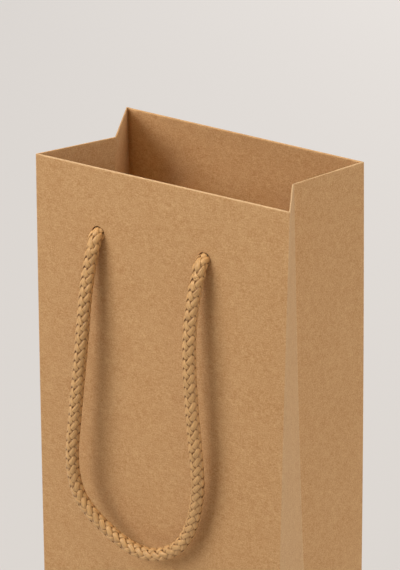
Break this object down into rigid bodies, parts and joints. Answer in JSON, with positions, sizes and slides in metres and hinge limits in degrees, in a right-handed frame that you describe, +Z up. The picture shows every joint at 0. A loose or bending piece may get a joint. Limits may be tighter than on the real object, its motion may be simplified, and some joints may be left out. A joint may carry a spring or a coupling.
{
  "type": "paper bottle carrier",
  "caption": "Tall block-bottomed carrier bag of brown kraft paper for one bottle, with folded-in sides, a turned-in hem and braided rope handles.",
  "frame": {"origin": "middle of the base, on the surface that the bag stands on", "axes": "+Z up along the bag's height, front panel facing -Y, +X to the right as seen from the front"},
  "size_m": [0.133, 0.1088, 0.33],
  "materials": {
    "kraft_paper": "matt brown kraft with a fine fibre mottle",
    "grey_card": "matt unbleached card",
    "braided_rope": "matt tan braided cord"
  },
  "bodies": {
    "bag": {"front_panel": "kraft_paper", "back_panel": "kraft_paper", "left_gusset_front": "kraft_paper", "left_gusset_back": "kraft_paper", "right_gusset_front": "kraft_paper", "right_gusset_back": "kraft_paper", "side_seam_flap": "kraft_paper", "front_hem": "kraft_paper", "back_hem": "kraft_paper", "left_hem_front": "kraft_paper", "left_hem_back": "kraft_paper", "right_hem_front": "kraft_paper", "right_hem_back": "kraft_paper", "front_top_card": "grey_card", "back_top_card": "grey_card", "front_base_flap": "kraft_paper", "back_base_flap": "kraft_paper", "left_base_flap": "kraft_paper", "right_base_flap": "kraft_paper", "base_card": "grey_card", "front_left_knot": "braided_rope", "front_right_knot": "braided_rope", "back_left_knot": "braided_rope", "back_right_knot": "braided_rope"},
    "front_handle": {"front_rope_loop": "braided_rope"},
    "back_handle": {"back_rope_loop": "braided_rope"}
  },
  "joints": [
    {"name": "front_handle_swing", "type": "hinge", "parent": "bag", "child": "front_handle", "pos_m": [-0.0044, -0.04, 0.2985], "axis": [-1, 0, 0], "range_deg": [0, 170]},
    {"name": "back_handle_swing", "type": "hinge", "parent": "bag", "child": "back_handle", "pos_m": [-0.0044, 0.04028, 0.288], "axis": [1, 0, 0], "range_deg": [0, 170]}
  ]
}
